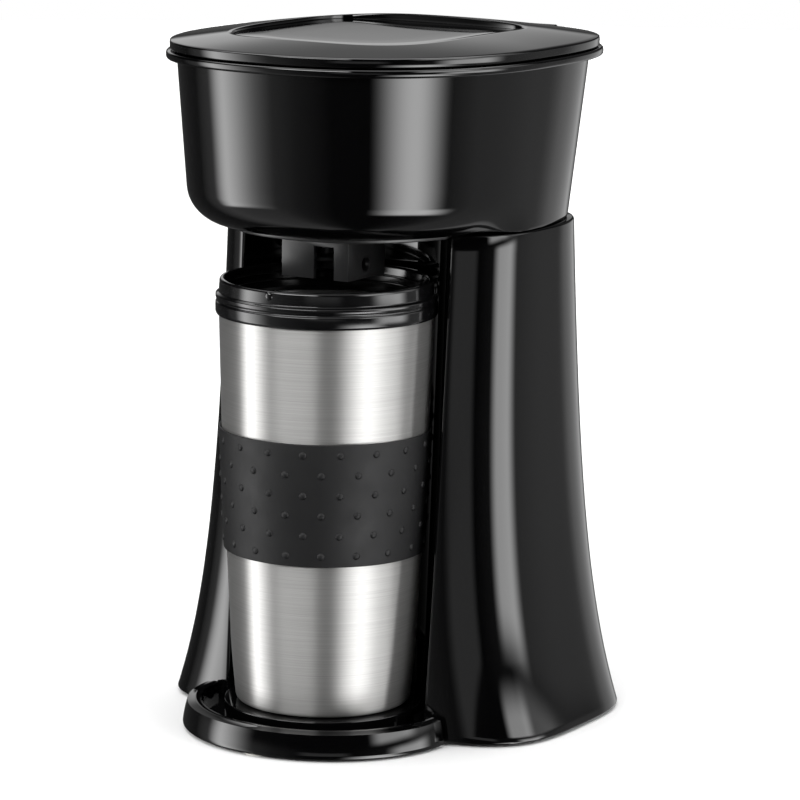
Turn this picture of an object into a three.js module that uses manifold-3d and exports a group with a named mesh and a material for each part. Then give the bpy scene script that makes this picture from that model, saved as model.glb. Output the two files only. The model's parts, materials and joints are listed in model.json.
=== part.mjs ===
// Single-serve drip coffee maker with a steel travel mug.
// Millimetres, +Z up, the front faces -Y, and the origin is the centre of the footprint on the table.
import * as THREE from "three";
import { mergeVertices } from "three/addons/utils/BufferGeometryUtils.js";
import Module from "manifold-3d";

const wasm = await Module();
wasm.setup();

// ---------- driving dimensions ----------
const GAP = 0.3; // clearance between touching pieces
const WALL = 2.4; // moulded wall thickness
const AROUND = 44; // facets round a large outline

const MUG_Y = -37; // axis of the mug, the niche and the brew basket
const HOPPER_Y = -1; // centre of the hopper outline
const COLUMN_Y = 23; // centre of the column outline

const COLUMN_BOTTOM = 1.2;
const COLUMN_TOP = 197.9;
const COLUMN_HALF_WIDTH = 66; // above the flare
const FLARE = 21; // how far each side spreads at the table
const FLARE_HEIGHT = 57; // height over which the flare dies away
const NICHE_RADIUS_LOW = 45;
const NICHE_RADIUS_HIGH = 49;
const PLATE_BOTTOM = 2.0;
const PLATE_TOP = 4.6;

const HOPPER_BOTTOM = 198.3;
const HOPPER_TOP = 262;
const HOPPER_FILLET = 14; // under the front overhang
const BRIM_BOTTOM = 261.8;
const BRIM_TOP = 265.0;

const LID_BOTTOM = 265.4;
const LID_BAND_TOP = 268.6;
const LID_EDGE = 269.1; // where the small edge rounding meets the crown
const LID_CROWN = 275.3;
const LID_HOLLOW_TOP = 267.7;
const RECESS_FLOOR = 269.9;
const HINGE_Y = 80;
const HINGE_Z = 267.8;
const HINGE_RADIUS = 2.4;
const HINGE_HALF = 34; // half the length of the barrel
const LID_SWING = 1.2; // room round the barrel for the turning lid

const TRAY_RIM = 11.2;
const SEAT_RADIUS = 38.8;
const SEAT_TOP = 11.9;

const MUG_BOTTOM = 12.2;
const MUG_STEEL_TOP = 168;
const COLLAR_BOTTOM = 165.2;
const MUG_RIM = 179;
const SLEEVE_BOTTOM = 73;
const SLEEVE_TOP = 121;

const SPOUT_BOTTOM = 179.6;
const PLATE_UNDER_HOPPER = 196.6;

// ---------- solids ----------
function solid(geometry) {
  const g = geometry.clone();
  g.deleteAttribute("normal");
  g.deleteAttribute("uv");
  const merged = mergeVertices(g, 1e-4);
  const vertProperties = merged.attributes.position.array;
  const triVerts = new Uint32Array(merged.index.array);
  return new wasm.Manifold(new wasm.Mesh({ numProp: 3, vertProperties, triVerts }));
}

function geometryOf(made) {
  const mesh = made.getMesh();
  const g = new THREE.BufferGeometry();
  g.setAttribute("position", new THREE.BufferAttribute(mesh.vertProperties, 3));
  g.setIndex(new THREE.BufferAttribute(mesh.triVerts, 1));
  g.computeVertexNormals();
  return g;
}

// A box from its lowest to its highest corner.
function block(x0, x1, y0, y1, z0, z1) {
  const g = new THREE.BoxGeometry(x1 - x0, y1 - y0, z1 - z0);
  return solid(g.translate((x0 + x1) / 2, (y0 + y1) / 2, (z0 + z1) / 2));
}

// A round bar or cone that stands on z0.
function post(x, y, z0, z1, r0, r1 = r0, sides = 24) {
  const g = new THREE.CylinderGeometry(r1, r0, z1 - z0, sides);
  return solid(g.rotateX(Math.PI / 2).translate(x, y, (z0 + z1) / 2));
}

// A round bar along X.
function axle(x0, x1, y, z, r, sides = 20) {
  const g = new THREE.CylinderGeometry(r, r, x1 - x0, sides);
  return solid(g.rotateZ(Math.PI / 2).translate((x0 + x1) / 2, y, z));
}

// A turned piece round a vertical axis, from a list of [radius, height]; a ring's profile is closed here.
function turned(x, y, profile, sides = 36) {
  const ring = profile[0][0] > 0 ? [...profile, profile[0]] : profile;
  const points = ring.map(([r, z]) => new THREE.Vector2(r, z));
  const g = new THREE.LatheGeometry(points, sides);
  return solid(g.rotateX(Math.PI / 2).translate(x, y, 0));
}

// A round tube or bar along a smooth route.
function tube(route, radius, steps, sides = 8) {
  const path = new THREE.CatmullRomCurve3(route.map((p) => new THREE.Vector3(...p)), false, "centripetal");
  const section = new THREE.Shape();
  for (let i = 0; i < sides; i++) {
    const angle = (2 * Math.PI * i) / sides;
    const [x, y] = [radius * Math.cos(angle), radius * Math.sin(angle)];
    i ? section.lineTo(x, y) : section.moveTo(x, y);
  }
  return solid(new THREE.ExtrudeGeometry(section, { steps, bevelEnabled: false, extrudePath: path }));
}

// A stack of outlines: outline(angle, height) gives [x, y], and the heights run upwards.
function loft(heights, outline, centreY, around = AROUND) {
  const rows = heights.length - 1;
  const g = new THREE.CylinderGeometry(1, 1, 1, around, rows);
  const p = g.attributes.position;
  for (let i = 0; i < p.count; i++) {
    const [x, y] = [p.getX(i), -p.getZ(i)];
    const height = heights[Math.round((p.getY(i) + 0.5) * rows)];
    const onAxis = Math.hypot(x, y) < 0.5;
    const [u, v] = onAxis ? [0, centreY] : outline(Math.atan2(y, x), height);
    p.setXYZ(i, u, v, height);
  }
  return solid(g);
}

// A squircle with its own depth and squareness for the front half and the back half.
function squircle(angle, centreY, half, front, back) {
  const [c, s] = [Math.cos(angle), Math.sin(angle)];
  const { depth, power } = s < 0 ? front : back;
  const x = half * Math.sign(c) * Math.abs(c) ** (2 / power);
  const y = centreY + depth * Math.sign(s) * Math.abs(s) ** (2 / power);
  return [x, y];
}

const smooth = (t) => {
  const u = Math.min(1, Math.max(0, t));
  return u * u * (3 - 2 * u);
};

// ---------- outlines of the housing ----------
function columnOutline(angle, z, inset = 0) {
  const share = Math.max(0, z) / COLUMN_TOP;
  const half = COLUMN_HALF_WIDTH + FLARE * Math.exp(-Math.max(0, z) / FLARE_HEIGHT);
  const front = { depth: 61 - 11 * share - inset, power: 4 };
  const back = { depth: 62 - 7 * share - inset, power: 3 - 0.7 * share };
  return squircle(angle, COLUMN_Y, half - inset, front, back);
}

function hopperOutline(angle, z, inset = 0) {
  const share = (z - HOPPER_BOTTOM) / (HOPPER_TOP - HOPPER_BOTTOM);
  const front = { depth: 79 + 5.5 * share - inset, power: 2.25 };
  const back = { depth: 79 + 5 * share - inset, power: 3 - 0.35 * (1 - share) };
  return squircle(angle, HOPPER_Y, 66.5 + 4.5 * share - inset, front, back);
}

// The fillet under the overhang fades out where the hopper meets the column.
function filletInset(y, z, radius, bottom) {
  const rise = Math.min(radius, Math.max(0, z - bottom));
  const inset = radius - Math.sqrt(radius ** 2 - (radius - rise) ** 2);
  return inset * (1 - smooth((y + 30) / 32));
}

function filletedHopper(angle, z, inset, radius, bottom) {
  const y = hopperOutline(angle, z, inset)[1];
  return hopperOutline(angle, z, inset + filletInset(y, z, radius, bottom));
}

function lidOutline(angle, inset = 0) {
  const front = { depth: 85.6 - inset, power: 2.25 };
  const back = { depth: 89.6 - inset, power: 2.9 };
  return squircle(angle, HOPPER_Y, 74.6 - inset, front, back);
}

function nicheCone(extra) {
  return post(0, MUG_Y, -2, 202, NICHE_RADIUS_LOW + extra, NICHE_RADIUS_HIGH + extra, 44);
}

const COLUMN_HEIGHTS = [COLUMN_BOTTOM, 12, 26, 44, 72, 115, COLUMN_TOP];
const COVER = { half: 44, bottom: 32, top: 184, front: 32 }; // the service panel at the back
const BASE_SCREWS = [[73.5, 23], [-73.5, 23], [30, 77], [-30, 77]];
const RISER = [[22, 38, 23.2], [22, 38, 62], [10, 27, 120], [0, 21, 170], [0, 21, 215], [0, 21, 256]];
const FEED = { x: -22, y: 38 };
const SWITCH = { turn: THREE.MathUtils.degToRad(-16), radius: 45.4, z: 20.5 };
const INLET_Z = 17;

// ---------- column and base ----------
function columnWalls() {
  const outer = loft(COLUMN_HEIGHTS, columnOutline, COLUMN_Y);
  const inside = [-1, ...COLUMN_HEIGHTS.slice(1, -1), COLUMN_TOP - WALL];
  const cavity = loft(inside, (a, z) => columnOutline(a, z, WALL), COLUMN_Y);
  return outer.subtract(nicheCone(0)).subtract(cavity.subtract(nicheCone(WALL)));
}

function coverBlock(grow) {
  const { half, bottom, top, front } = COVER;
  return block(-half - grow, half + grow, front - grow, 100, bottom - grow, top + grow);
}

function columnShell() {
  let made = columnWalls().subtract(coverBlock(0));
  const plateSpace = loft([-1, PLATE_TOP + GAP], (a) => columnOutline(a, 0, WALL + 0.4), COLUMN_Y);
  made = made.subtract(plateSpace);
  for (const [x, y] of BASE_SCREWS) {
    made = made.add(post(x, y, PLATE_TOP + GAP, 31, 4.5)).subtract(post(x, y, 0, 20, 1.4));
  }
  made = made.subtract(tube(RISER, 5.2, 20)).subtract(post(0, 21, 190, 202, 5.2));
  made = made.subtract(post(FEED.x, FEED.y, 190, 202, 5.2));
  made = made.subtract(switchPocket());
  const inletHole = new THREE.CylinderGeometry(5.4, 5.4, 30, 24).translate(0, 80, INLET_Z);
  return made.subtract(solid(inletHole));
}

function rearCover() {
  return columnWalls().intersect(coverBlock(-GAP));
}

function basePlate() {
  const inset = WALL + 0.8;
  const plate = loft([PLATE_BOTTOM, PLATE_TOP], (a) => columnOutline(a, 0, inset), COLUMN_Y);
  let made = plate.add(post(0, MUG_Y, PLATE_BOTTOM, PLATE_TOP, 41, 41, 36));
  for (const [x, y] of BASE_SCREWS) made = made.subtract(post(x, y, 0, 8, 1.9));
  return made;
}

function baseScrew(x, y) {
  const head = post(x, y, 0.6, PLATE_BOTTOM - GAP, 3.2);
  return head.add(post(x, y, 1.2, 16, 1.1, 1.1, 12));
}

const FEET = [[66, -8], [-66, -8], [56, 60], [-56, 60], [22, -60], [-22, -60]];

function foot(x, y) {
  const top = PLATE_BOTTOM - GAP;
  return turned(x, y, [[0, 0], [6.4, 0], [7.2, 0.5], [7.2, top], [0, top]], 28);
}

function cordInlet() {
  const face = columnOutline(Math.PI / 2, INLET_Z)[1];
  const profile = [[3.2, 0], [8.4, 0], [8.4, 1.6], [6.6, 3.4], [3.2, 3.4]];
  const flange = turned(0, 0, profile, 28).add(turned(0, 0, [[3.2, -7], [5, -7], [5, 0.2], [3.2, 0.2]], 28));
  const g = geometryOf(flange).rotateX(-Math.PI / 2).translate(0, face + GAP, INLET_Z);
  return solid(g);
}

// ---------- switch in the niche wall ----------
function switchPlaced(made) {
  const g = geometryOf(made);
  return solid(g.translate(0, SWITCH.radius, SWITCH.z).rotateZ(SWITCH.turn).translate(0, MUG_Y, 0));
}

function switchPocket() {
  return switchPlaced(block(-5.9, 5.9, -6, 12, -8.3, 8.3));
}

function switchFrame() {
  const body = block(-5.6, 5.6, -1.9, 10, -8, 8).add(block(-7, 7, -2.6, -1.6, -9, 9));
  return switchPlaced(body.subtract(block(-4.4, 4.4, -4, 7, -6.6, 6.6)));
}

function rockerSwitch() {
  const half = 6.0;
  const shape = new THREE.Shape();
  shape.moveTo(-half, -3.9);
  shape.quadraticCurveTo(0, -2.3, half, -3.9);
  shape.lineTo(half - 1.6, 3.2);
  shape.lineTo(-half + 1.6, 3.2);
  shape.closePath();
  const g = new THREE.ExtrudeGeometry(shape, { depth: 7.8, bevelEnabled: false, curveSegments: 8 });
  g.rotateY(-Math.PI / 2).translate(3.9, 0, 0); // the outline's length now stands along Z
  return switchPlaced(solid(g));
}

// ---------- drip tray ----------
const TRAY_HALF = 56;
const TRAY_DEPTH = 53;
const TRAY_BACK = -37.7; // the part in front of the column ends here

function trayOutline(angle, inset) {
  const end = { depth: TRAY_DEPTH - inset, power: 2 };
  return squircle(angle, MUG_Y, TRAY_HALF - inset, end, end);
}

function dripTray() {
  const heights = [0.9, 2, 5, 8, 10.2, TRAY_RIM];
  const insets = [0.7, 0, 0.8, 2.2, 3.7, 4.8];
  const insetAt = (z) => insets[heights.indexOf(z)];
  const ahead = block(-80, 80, -120, TRAY_BACK, -5, 40);
  const skirt = loft(heights, (a, z) => trayOutline(a, insetAt(z)), MUG_Y).intersect(ahead);
  const floorBottom = PLATE_TOP + GAP;
  const floorTop = floorBottom + 1.5;
  const drum = post(0, MUG_Y, floorBottom, TRAY_RIM, 44.3, 44.3, 44);
  const under = loft([-1, floorBottom], (a) => trayOutline(a, 3), MUG_Y);
  const pocket = loft([floorTop, 20], (a) => trayOutline(a, 7.2), MUG_Y).intersect(ahead);
  const well = post(0, MUG_Y, floorTop, 20, 42.5, 42.5, 44);
  const seat = post(0, MUG_Y, floorBottom, SEAT_TOP, SEAT_RADIUS, SEAT_RADIUS, 40);
  const underSeat = post(0, MUG_Y, 0, SEAT_TOP - 1.8, SEAT_RADIUS - 1.8, SEAT_RADIUS - 1.8, 32);
  return skirt.add(drum).subtract(under).subtract(pocket.add(well)).add(seat).subtract(underSeat);
}

function trayFoot() {
  return post(0, -83.6, 0, 0.6, 5.4, 5.4, 28);
}

// ---------- travel mug ----------
const MUG_SIDE = [[34.4, 14], [36.1, 32], [38.2, SLEEVE_BOTTOM], [40.4, SLEEVE_TOP], [41.8, MUG_STEEL_TOP]];

// The side of the mug at a height, moved inwards by an inset.
function mugRadius(z, inset = 0) {
  const i = Math.max(1, MUG_SIDE.findIndex(([, height]) => height >= z));
  const [[r0, z0], [r1, z1]] = [MUG_SIDE[i - 1], MUG_SIDE[i]];
  return r0 + ((r1 - r0) * (z - z0)) / (z1 - z0) - inset;
}

function cup(bottom, top, inset, thick, cornerRise) {
  const side = MUG_SIDE.map(([, z]) => z).filter((z) => z > bottom + 4 && z < top);
  const outer = [bottom + cornerRise, ...side, top].map((z) => [mugRadius(z, inset), z]);
  const floor = bottom + cornerRise + thick;
  const inner = [top, ...side.reverse(), floor].map((z) => [mugRadius(z, inset + thick), z]);
  const first = [mugRadius(bottom + cornerRise, inset) - cornerRise, bottom];
  return turned(0, MUG_Y, [[0, bottom], first, ...outer, ...inner, [0, floor]]);
}

function mugShell() {
  return cup(MUG_BOTTOM, MUG_STEEL_TOP, 0, 0.9, 1.8).subtract(post(0, MUG_Y, 0, 13.4, 29.3, 29.3, 32));
}

function mugPad() {
  return post(0, MUG_Y, MUG_BOTTOM, 13.1, 29, 29, 32);
}

function mugLiner() {
  return cup(18, MUG_STEEL_TOP, 2.6, 0.9, 3);
}

function mugCollar() {
  const profile = [
    [42.1, COLLAR_BOTTOM], [42.7, COLLAR_BOTTOM], [43.1, 166.6], [43.1, 169.6], [42.5, 170.4],
    [42.5, 171.2], [43.0, 171.6], [43.0, 172.8], [41.7, 173.8], [41.5, 178.2], [40.9, MUG_RIM],
    [39.9, MUG_RIM], [39.3, 178.2], [38.2, 169.8], [38.2, MUG_STEEL_TOP + GAP], [42.1, MUG_STEEL_TOP + GAP],
  ];
  return turned(0, MUG_Y, profile);
}

function mugSleeve() {
  const [low, high] = [mugRadius(SLEEVE_BOTTOM), mugRadius(SLEEVE_TOP)];
  const profile = [
    [low + GAP, SLEEVE_BOTTOM], [low + 1.2, SLEEVE_BOTTOM],
    [high + 1.2, SLEEVE_TOP], [high + GAP, SLEEVE_TOP],
  ];
  return turned(0, MUG_Y, profile);
}

// ---------- hopper ----------
const FLOOR_TOP = HOPPER_BOTTOM + 2.6;
const BASKET_HOLE = 9.2;

function hopperShell() {
  const heights = [HOPPER_BOTTOM, 199.4, 202.6, 206.5, 212.3, HOPPER_TOP];
  const skin = loft(heights, (a, z) => filletedHopper(a, z, 0, HOPPER_FILLET, HOPPER_BOTTOM), HOPPER_Y);
  const brimHeights = [BRIM_BOTTOM, 262.8, 264, BRIM_TOP];
  const brimInset = (z) => (z === BRIM_BOTTOM || z === BRIM_TOP ? 0.9 : 0);
  const brimOutline = (angle, inset) => lidOutline(angle, inset - 1.4);
  const brim = loft(brimHeights, (a, z) => brimOutline(a, brimInset(z)), HOPPER_Y);
  const inner = HOPPER_FILLET - WALL;
  const cavityHeights = [FLOOR_TOP, 202.4, 205.5, FLOOR_TOP + inner, HOPPER_TOP, 270];
  const hollow = loft(
    cavityHeights, (a, z) => filletedHopper(a, Math.min(z, HOPPER_TOP), WALL, inner, FLOOR_TOP), HOPPER_Y,
  );
  return skin
    .add(brim)
    .subtract(hollow)
    .subtract(post(0, MUG_Y, 190, 210, BASKET_HOLE))
    .subtract(post(0, 21, 190, 210, 5.2))
    .subtract(post(FEED.x, FEED.y, 190, 210, 5.2));
}

function undersidePlate() {
  const top = HOPPER_BOTTOM - GAP;
  const outline = loft([PLATE_UNDER_HOPPER, top], (a) => hopperOutline(a, HOPPER_BOTTOM, 16), HOPPER_Y);
  const open = post(0, MUG_Y, 190, 200, 48.2, 48.2, 40).add(block(-80, 80, -120, -40, 190, 200));
  return outline.intersect(open).subtract(post(0, MUG_Y, 190, 200, BASKET_HOLE));
}

function reservoir() {
  const [bottom, top, front] = [FLOOR_TOP + GAP, 256, 27];
  const behind = (y) => block(-90, 90, y, 120, 190, 270);
  const outline = (inset) => (a, z) => hopperOutline(a, z, inset);
  const outer = loft([bottom, top], outline(WALL + 0.6), HOPPER_Y).intersect(behind(front));
  const inner = loft([bottom + 1.8, top + 2], outline(WALL + 2.4), HOPPER_Y).intersect(behind(front + 1.8));
  return outer.subtract(inner).subtract(post(FEED.x, FEED.y, 190, 206, 3));
}

function filterBasket() {
  const profile = [
    [7, 201.6], [8, 201.6], [8, 205], [31, 206.5], [36, 248], [38.4, 248], [38.4, 250],
    [34.6, 250], [29.8, 208.4], [7, 206.8],
  ];
  return turned(0, MUG_Y, profile);
}

function permanentFilter() {
  const profile = [
    [0, 210], [22, 210], [32.6, 250.6], [35.4, 250.6], [35.4, 252], [31.2, 252], [20.8, 211.6], [0, 211.6],
  ];
  const cone = turned(0, MUG_Y, profile, 44);
  const bridge = block(-32.4, 32.4, MUG_Y - 2.5, MUG_Y + 2.5, 250.6, 252);
  return cone.add(bridge);
}

// ---------- brew outlet ----------
const SPOUT_TOP = PLATE_UNDER_HOPPER - GAP;

function spoutBlock() {
  const [front, back] = [MUG_Y - 9, MUG_Y + 18];
  let made = block(-15, 15, front, back, SPOUT_BOTTOM, SPOUT_TOP);
  made = made.subtract(block(-13, 13, front + 2, back - 2, SPOUT_BOTTOM - 1, SPOUT_TOP - 2));
  made = made.subtract(block(-0.5, 8.6, front - 1, front + 3, SPOUT_BOTTOM - 1, SPOUT_TOP - 4));
  made = made.subtract(axle(5, 20, MUG_Y + 4, 185, 2.9));
  return made.subtract(post(0, MUG_Y, 190, 200, 7.4));
}

function dripValve() {
  const profile = [[0, 186], [5.6, 186], [5.6, 187.6], [2.4, 188.6], [2.4, 207.6], [0, 207.6]];
  return turned(0, MUG_Y, profile, 24);
}

function valveSpring() {
  const turns = 4;
  const route = [];
  for (let i = 0; i <= turns * 8; i++) {
    const angle = (2 * Math.PI * i) / 8;
    route.push([4.2 * Math.cos(angle), MUG_Y + 4.2 * Math.sin(angle), 189.6 + (9 * i) / (turns * 8)]);
  }
  return tube(route, 0.5, turns * 8, 5);
}

// ---------- water path and heater ----------
function heater() {
  const bend = [[-22, 34, 16], [-22, 52, 16], [-12, 65, 16], [12, 65, 16], [22, 52, 16], [22, 34, 16]];
  return tube(bend, 6.5, 18, 10);
}

function thermostat() {
  const y = 65;
  return post(0, y, 22.9, 27, 8.5).add(post(0, y, 26, 31, 4));
}

function thermalFuse() {
  return block(-32.8, -30, 44, 58, 14, 18);
}

function checkValve() {
  return turned(FEED.x, FEED.y, [[0, 62.3], [4, 62.3], [6.5, 66], [6.5, 76], [4, 79.7], [0, 79.7]], 20);
}

function outletNozzle() {
  const flange = post(0, 21, 256.3, 262.4, 5.4);
  return flange.add(block(-4, 4, 4.5, 21, 258.2, 262.4));
}

// ---------- lid ----------
const PANEL_Y = -8;

function panelOutline(angle, inset = 0) {
  const front = { depth: 52 - inset, power: 3 };
  const back = { depth: 52 - inset, power: 7 };
  return squircle(angle, PANEL_Y, 45.5 - inset, front, back);
}

// The crowned top: rings of the outline, each a little smaller and higher.
function lidDome() {
  const rings = 5;
  const levels = [[0.5, LID_BOTTOM], [0, LID_BOTTOM + 0.6], [0, LID_BAND_TOP], [0.5, LID_EDGE]];
  for (let i = 1; i <= rings; i++) {
    const share = i / rings;
    levels.push([0.5 + share * 58, LID_EDGE + (LID_CROWN - LID_EDGE) * (1 - (1 - share) ** 1.4)]);
  }
  const heights = levels.map(([, z]) => z);
  return loft(heights, (a, z) => lidOutline(a, levels[heights.indexOf(z)][0]), HOPPER_Y);
}

function hingeSplit(y) {
  return block(-90, 90, y, 120, 260, 290);
}

function lid() {
  const hollow = loft([260, LID_HOLLOW_TOP], (a) => lidOutline(a, WALL), HOPPER_Y);
  const recess = loft([RECESS_FLOOR, 280], (a) => panelOutline(a), PANEL_Y, 44);
  const barrel = axle(-HINGE_HALF, HINGE_HALF, HINGE_Y, HINGE_Z, HINGE_RADIUS);
  const lugSpace = (x0, x1) => block(x0, x1, 75.6, 95, 260, 290);
  return lidDome()
    .subtract(hingeSplit(HINGE_Y))
    .subtract(hollow.subtract(block(-90, 90, 74, 100, 250, 280)))
    .subtract(recess)
    .add(barrel)
    .subtract(lugSpace(HINGE_HALF, 60))
    .subtract(lugSpace(-60, -HINGE_HALF))
    .subtract(axle(-50, 50, HINGE_Y, HINGE_Z, 1.5, 16));
}

function lidPanel() {
  const [bottom, top] = [RECESS_FLOOR + GAP, RECESS_FLOOR + 1.3];
  return loft([bottom, top], (a, z) => panelOutline(a, z === top ? 1 : GAP), PANEL_Y, 44);
}

function hingeCover() {
  const strip = lidDome().intersect(hingeSplit(76));
  const half = HINGE_HALF + 0.4;
  const clear = axle(-half, half, HINGE_Y, HINGE_Z, HINGE_RADIUS + LID_SWING, 32);
  const lidSpace = block(-half, half, 60, HINGE_Y, 260, 290);
  const made = strip.subtract(clear).subtract(lidSpace);
  return made.subtract(axle(-50, 50, HINGE_Y, HINGE_Z, 1.5, 16)).subtract(block(-90, 90, 60, 76.4, 260, 290));
}

function hingePin() {
  return axle(-HINGE_HALF - 5, HINGE_HALF + 5, HINGE_Y, HINGE_Z, 1.2, 16);
}

// ---------- assembly ----------
const GLOSS_BLACK = { color: 0x0a0a0b, roughness: 0.12, metalness: 0 };
const SATIN_BLACK = { color: 0x141415, roughness: 0.45, metalness: 0 };
const STEEL = { color: 0xb9b9b7, roughness: 0.32, metalness: 1 };
const RUBBER = { color: 0x1c1c1d, roughness: 0.85, metalness: 0 };
const CLEAR_GREY = { color: 0x3a3a3c, roughness: 0.3, metalness: 0 };
const SILICONE = { color: 0xd8d8d2, roughness: 0.6, metalness: 0 };
const ALUMINIUM = { color: 0x9c9c9e, roughness: 0.5, metalness: 1 };
const MESH_GOLD = { color: 0x6b6250, roughness: 0.5, metalness: 1 };

const group = new THREE.Group();

function place(name, made, finish) {
  const mesh = new THREE.Mesh(geometryOf(made), new THREE.MeshStandardMaterial(finish));
  mesh.name = name;
  group.add(mesh);
}

place("column_shell", columnShell(), GLOSS_BLACK);
place("rear_cover", rearCover(), GLOSS_BLACK);
place("base_plate", basePlate(), SATIN_BLACK);
BASE_SCREWS.forEach(([x, y], i) => place(`base_screw_${i + 1}`, baseScrew(x, y), STEEL));
FEET.forEach(([x, y], i) => place(`rubber_foot_${i + 1}`, foot(x, y), RUBBER));
place("cord_inlet", cordInlet(), SATIN_BLACK);
place("switch_frame", switchFrame(), SATIN_BLACK);
place("rocker_switch", rockerSwitch(), GLOSS_BLACK);

place("drip_tray", dripTray(), GLOSS_BLACK);
place("tray_foot", trayFoot(), SILICONE);

place("mug_shell", mugShell(), STEEL);
place("mug_base_pad", mugPad(), RUBBER);
place("mug_liner", mugLiner(), STEEL);
place("mug_collar", mugCollar(), SATIN_BLACK);
place("mug_sleeve", mugSleeve(), RUBBER);

place("hopper_shell", hopperShell(), GLOSS_BLACK);
place("underside_plate", undersidePlate(), SATIN_BLACK);
place("water_reservoir", reservoir(), CLEAR_GREY);
place("filter_basket", filterBasket(), SATIN_BLACK);
place("permanent_filter", permanentFilter(), MESH_GOLD);
place("spout_block", spoutBlock(), SATIN_BLACK);
place("drip_valve", dripValve(), SATIN_BLACK);
place("valve_spring", valveSpring(), STEEL);

place("heater", heater(), ALUMINIUM);
place("thermostat", thermostat(), ALUMINIUM);
place("thermal_fuse", thermalFuse(), SILICONE);
place("riser_tube", tube(RISER, 4, 20), SILICONE);
place("feed_tube_upper", post(FEED.x, FEED.y, 80, FLOOR_TOP, 4, 4, 16), SILICONE);
place("check_valve", checkValve(), SATIN_BLACK);
place("feed_tube_lower", post(FEED.x, FEED.y, 22.9, 62, 4, 4, 16), SILICONE);
place("outlet_nozzle", outletNozzle(), SATIN_BLACK);

place("lid", lid(), GLOSS_BLACK);
place("lid_panel", lidPanel(), GLOSS_BLACK);
place("hinge_cover", hingeCover(), GLOSS_BLACK);
place("hinge_pin", hingePin(), STEEL);

export default group;
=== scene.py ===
import json
import math

import bmesh
import bpy
from mathutils import Matrix, Vector


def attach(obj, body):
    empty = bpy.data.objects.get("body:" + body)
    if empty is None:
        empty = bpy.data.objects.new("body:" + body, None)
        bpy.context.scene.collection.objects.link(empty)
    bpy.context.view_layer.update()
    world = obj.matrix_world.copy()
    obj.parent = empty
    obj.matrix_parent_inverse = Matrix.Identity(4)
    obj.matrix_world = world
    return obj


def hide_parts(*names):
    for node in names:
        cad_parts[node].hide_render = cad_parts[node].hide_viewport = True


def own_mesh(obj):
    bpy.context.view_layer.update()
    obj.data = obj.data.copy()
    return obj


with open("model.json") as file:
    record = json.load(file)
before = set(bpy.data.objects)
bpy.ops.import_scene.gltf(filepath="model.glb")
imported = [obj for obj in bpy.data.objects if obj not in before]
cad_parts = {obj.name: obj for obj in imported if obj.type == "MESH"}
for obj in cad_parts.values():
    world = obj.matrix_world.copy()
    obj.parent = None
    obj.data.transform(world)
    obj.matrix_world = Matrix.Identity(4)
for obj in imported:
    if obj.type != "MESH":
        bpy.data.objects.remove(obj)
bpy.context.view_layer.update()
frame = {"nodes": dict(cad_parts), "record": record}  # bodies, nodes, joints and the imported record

# Looks of a single-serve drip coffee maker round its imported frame.
# Shapes are worked out in millimetres and made in metres: +Z up, the front faces -Y.

MM = 0.001
GAP = 0.3
WALL = 2.4
AROUND = 192  # points round a large outline
MUG_Y = -37
HOPPER_Y = -1
COLUMN_Y = 23

BODY_OF = {n: b for b, nodes in frame["record"]["behaviour"]["bodies"].items() for n in nodes}
SLOT_OF = {part["node"]: part["material_slot"] for part in frame["record"]["subparts"]}


# ---------- meshes ----------
def mesh_object(name, points, faces):
    mesh = bpy.data.meshes.new(name)
    mesh.from_pydata([[c * MM for c in p] for p in points], [], faces)
    outward(mesh)
    piece = bpy.data.objects.new(name, mesh)
    bpy.context.scene.collection.objects.link(piece)
    return piece


def outward(mesh):
    work = bmesh.new()
    work.from_mesh(mesh)
    bmesh.ops.recalc_face_normals(work, faces=work.faces)
    work.to_mesh(mesh)
    work.free()


def rings(name, rows, looped=False):
    """A closed skin through rows of points that all hold the same number; looped joins last to first."""
    count = len(rows[0])
    faces = []
    for k in range(len(rows) if looped else len(rows) - 1):
        low, high = k * count, (k + 1) % len(rows) * count
        for i in range(count):
            j = (i + 1) % count
            faces.append((low + i, low + j, high + j, high + i))
    if not looped:
        last = (len(rows) - 1) * count
        faces += [tuple(range(count))[::-1], tuple(range(last, last + count))]
    return mesh_object(name, [p for row in rows for p in row], faces)


def soften(profile, radius, looped=False, steps=4):
    """The same profile with its corners rounded."""
    done = []
    for i, point in enumerate(profile):
        if not looped and i in (0, len(profile) - 1):
            done.append(tuple(point))
            continue
        here = Vector(point)
        arms = [Vector(q) - here for q in (profile[i - 1], profile[(i + 1) % len(profile)])]
        reach = min([radius] + [arm.length * 0.45 for arm in arms])
        start, end = (here + arm.normalized() * reach for arm in arms)
        for k in range(steps + 1):
            t = k / steps
            done.append(tuple(start * (1 - t) ** 2 + here * (2 * t * (1 - t)) + end * t * t))
    return done


def turned(name, profile, x=0, y=MUG_Y, sides=AROUND, radius=0.0):
    """A turned piece; a profile that starts on the axis is closed by flat ends, any other is a ring."""
    ring = profile[0][0] > 0
    if radius:
        profile = soften(profile, radius, ring)
    if not ring:
        profile = [p for p in profile if p[0] > 0]
    turns = [2 * math.pi * i / sides for i in range(sides)]
    rows = [[(x + r * math.cos(a), y + r * math.sin(a), z) for a in turns] for r, z in profile]
    return rings(name, rows, ring)


def post(name, x, y, z0, z1, radius, sides=64):
    """An upright cylinder."""
    return turned(name, [(0, z0), (radius, z0), (radius, z1), (0, z1)], x, y, sides)


def box(name, x0, x1, y0, y1, z0, z1):
    rows = [[(x0, y0, z), (x1, y0, z), (x1, y1, z), (x0, y1, z)] for z in (z0, z1)]
    return rings(name, rows)


def axle(name, x0, x1, y, z, r, sides=48):
    """A cylinder along X."""
    turns = [2 * math.pi * i / sides for i in range(sides)]
    return rings(name, [[(x, y + r * math.cos(a), z + r * math.sin(a)) for a in turns] for x in (x0, x1)])


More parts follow.
